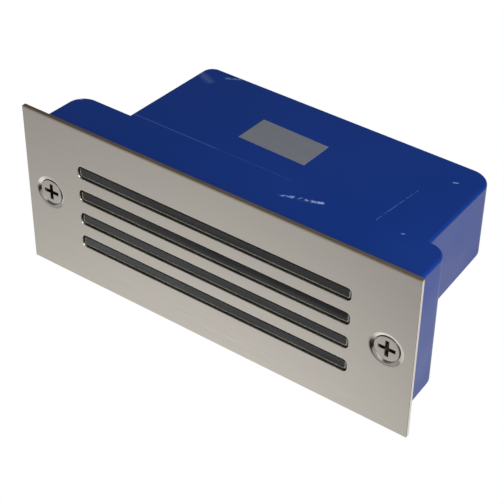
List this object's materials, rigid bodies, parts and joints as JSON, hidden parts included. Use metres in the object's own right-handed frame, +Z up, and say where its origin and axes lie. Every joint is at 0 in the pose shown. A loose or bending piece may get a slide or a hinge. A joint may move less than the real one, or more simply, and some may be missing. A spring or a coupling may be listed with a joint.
{
  "type": "recessed step light",
  "caption": "Wall-recessed step light: slotted steel faceplate with two screws, barred clear lens, and a stepped blue housing that holds the emitter board and its driver.",
  "frame": {"origin": "centre of the wall surface behind the faceplate, on the rear face of the foam ring", "axes": "+X along the faceplate towards the longer overhang of the driver box, +Y into the wall, +Z up"},
  "size_m": [0.11, 0.0482, 0.045],
  "materials": {
    "stainless": "satin, brushed along its length",
    "face_screw_steel": "polished nickel plate",
    "small_screw_steel": "bright zinc plate",
    "foam": "matt closed-cell foam",
    "silicone": "translucent white, satin",
    "clear_lens": "clear, polished",
    "blue_plastic": "fine satin, injection moulded",
    "label_foil": "satin silver foil, blank",
    "grommet_rubber": "satin",
    "clamp_plastic": "satin",
    "white_board": "white solder mask on metal core",
    "emitter": "white case, yellow phosphor",
    "spreader_aluminium": "mill finish",
    "green_board": "green solder mask",
    "terminal_green": "moulded, semi-gloss",
    "resistor_coat": "lacquered",
    "film_case": "dipped epoxy",
    "black_package": "moulded epoxy",
    "capacitor_sleeve": "shrink sleeve",
    "ferrite": "sintered ferrite, matt",
    "bobbin_plastic": "phenolic",
    "coil_tape": "copper wire under yellow tape",
    "red_wire": "insulation",
    "black_wire": "insulation"
  },
  "bodies": {
    "housing_body": {"lens_seal": "silicone", "lens": "clear_lens", "housing": "blue_plastic", "rating_label": "label_foil", "cable_grommet": "grommet_rubber", "cable_clamp": "clamp_plastic", "cable_clamp_screws": "small_screw_steel", "led_board": "white_board", "led_emitters": "emitter", "led_board_screws": "small_screw_steel", "heat_spreader": "spreader_aluminium", "spreader_screws": "small_screw_steel", "driver_board": "green_board", "driver_board_screws": "small_screw_steel", "terminal_block": "terminal_green", "terminal_screws": "small_screw_steel", "fuse_resistor": "resistor_coat", "film_capacitor": "film_case", "bridge_rectifier": "black_package", "input_capacitor": "capacitor_sleeve", "filter_choke": "ferrite", "driver_ic": "black_package", "transformer_core": "ferrite", "transformer_bobbin": "bobbin_plastic", "transformer_winding": "coil_tape", "output_capacitor": "capacitor_sleeve", "led_lead_positive": "red_wire", "led_lead_negative": "black_wire"},
    "faceplate_body": {"faceplate": "stainless", "wall_gasket": "foam"},
    "left_screw_body": {"face_screw_left": "face_screw_steel"},
    "right_screw_body": {"face_screw_right": "face_screw_steel"}
  },
  "joints": [
    {"name": "faceplate_lift", "type": "slide", "parent": "housing_body", "child": "faceplate_body", "axis": [0, -1, 0], "range_m": [0, 0.03]},
    {"name": "left_screw_out", "type": "slide", "parent": "faceplate_body", "child": "left_screw_body", "axis": [0, -1, 0], "range_m": [0, 0.012]},
    {"name": "right_screw_out", "type": "slide", "parent": "faceplate_body", "child": "right_screw_body", "axis": [0, -1, 0], "range_m": [0, 0.012]}
  ]
}
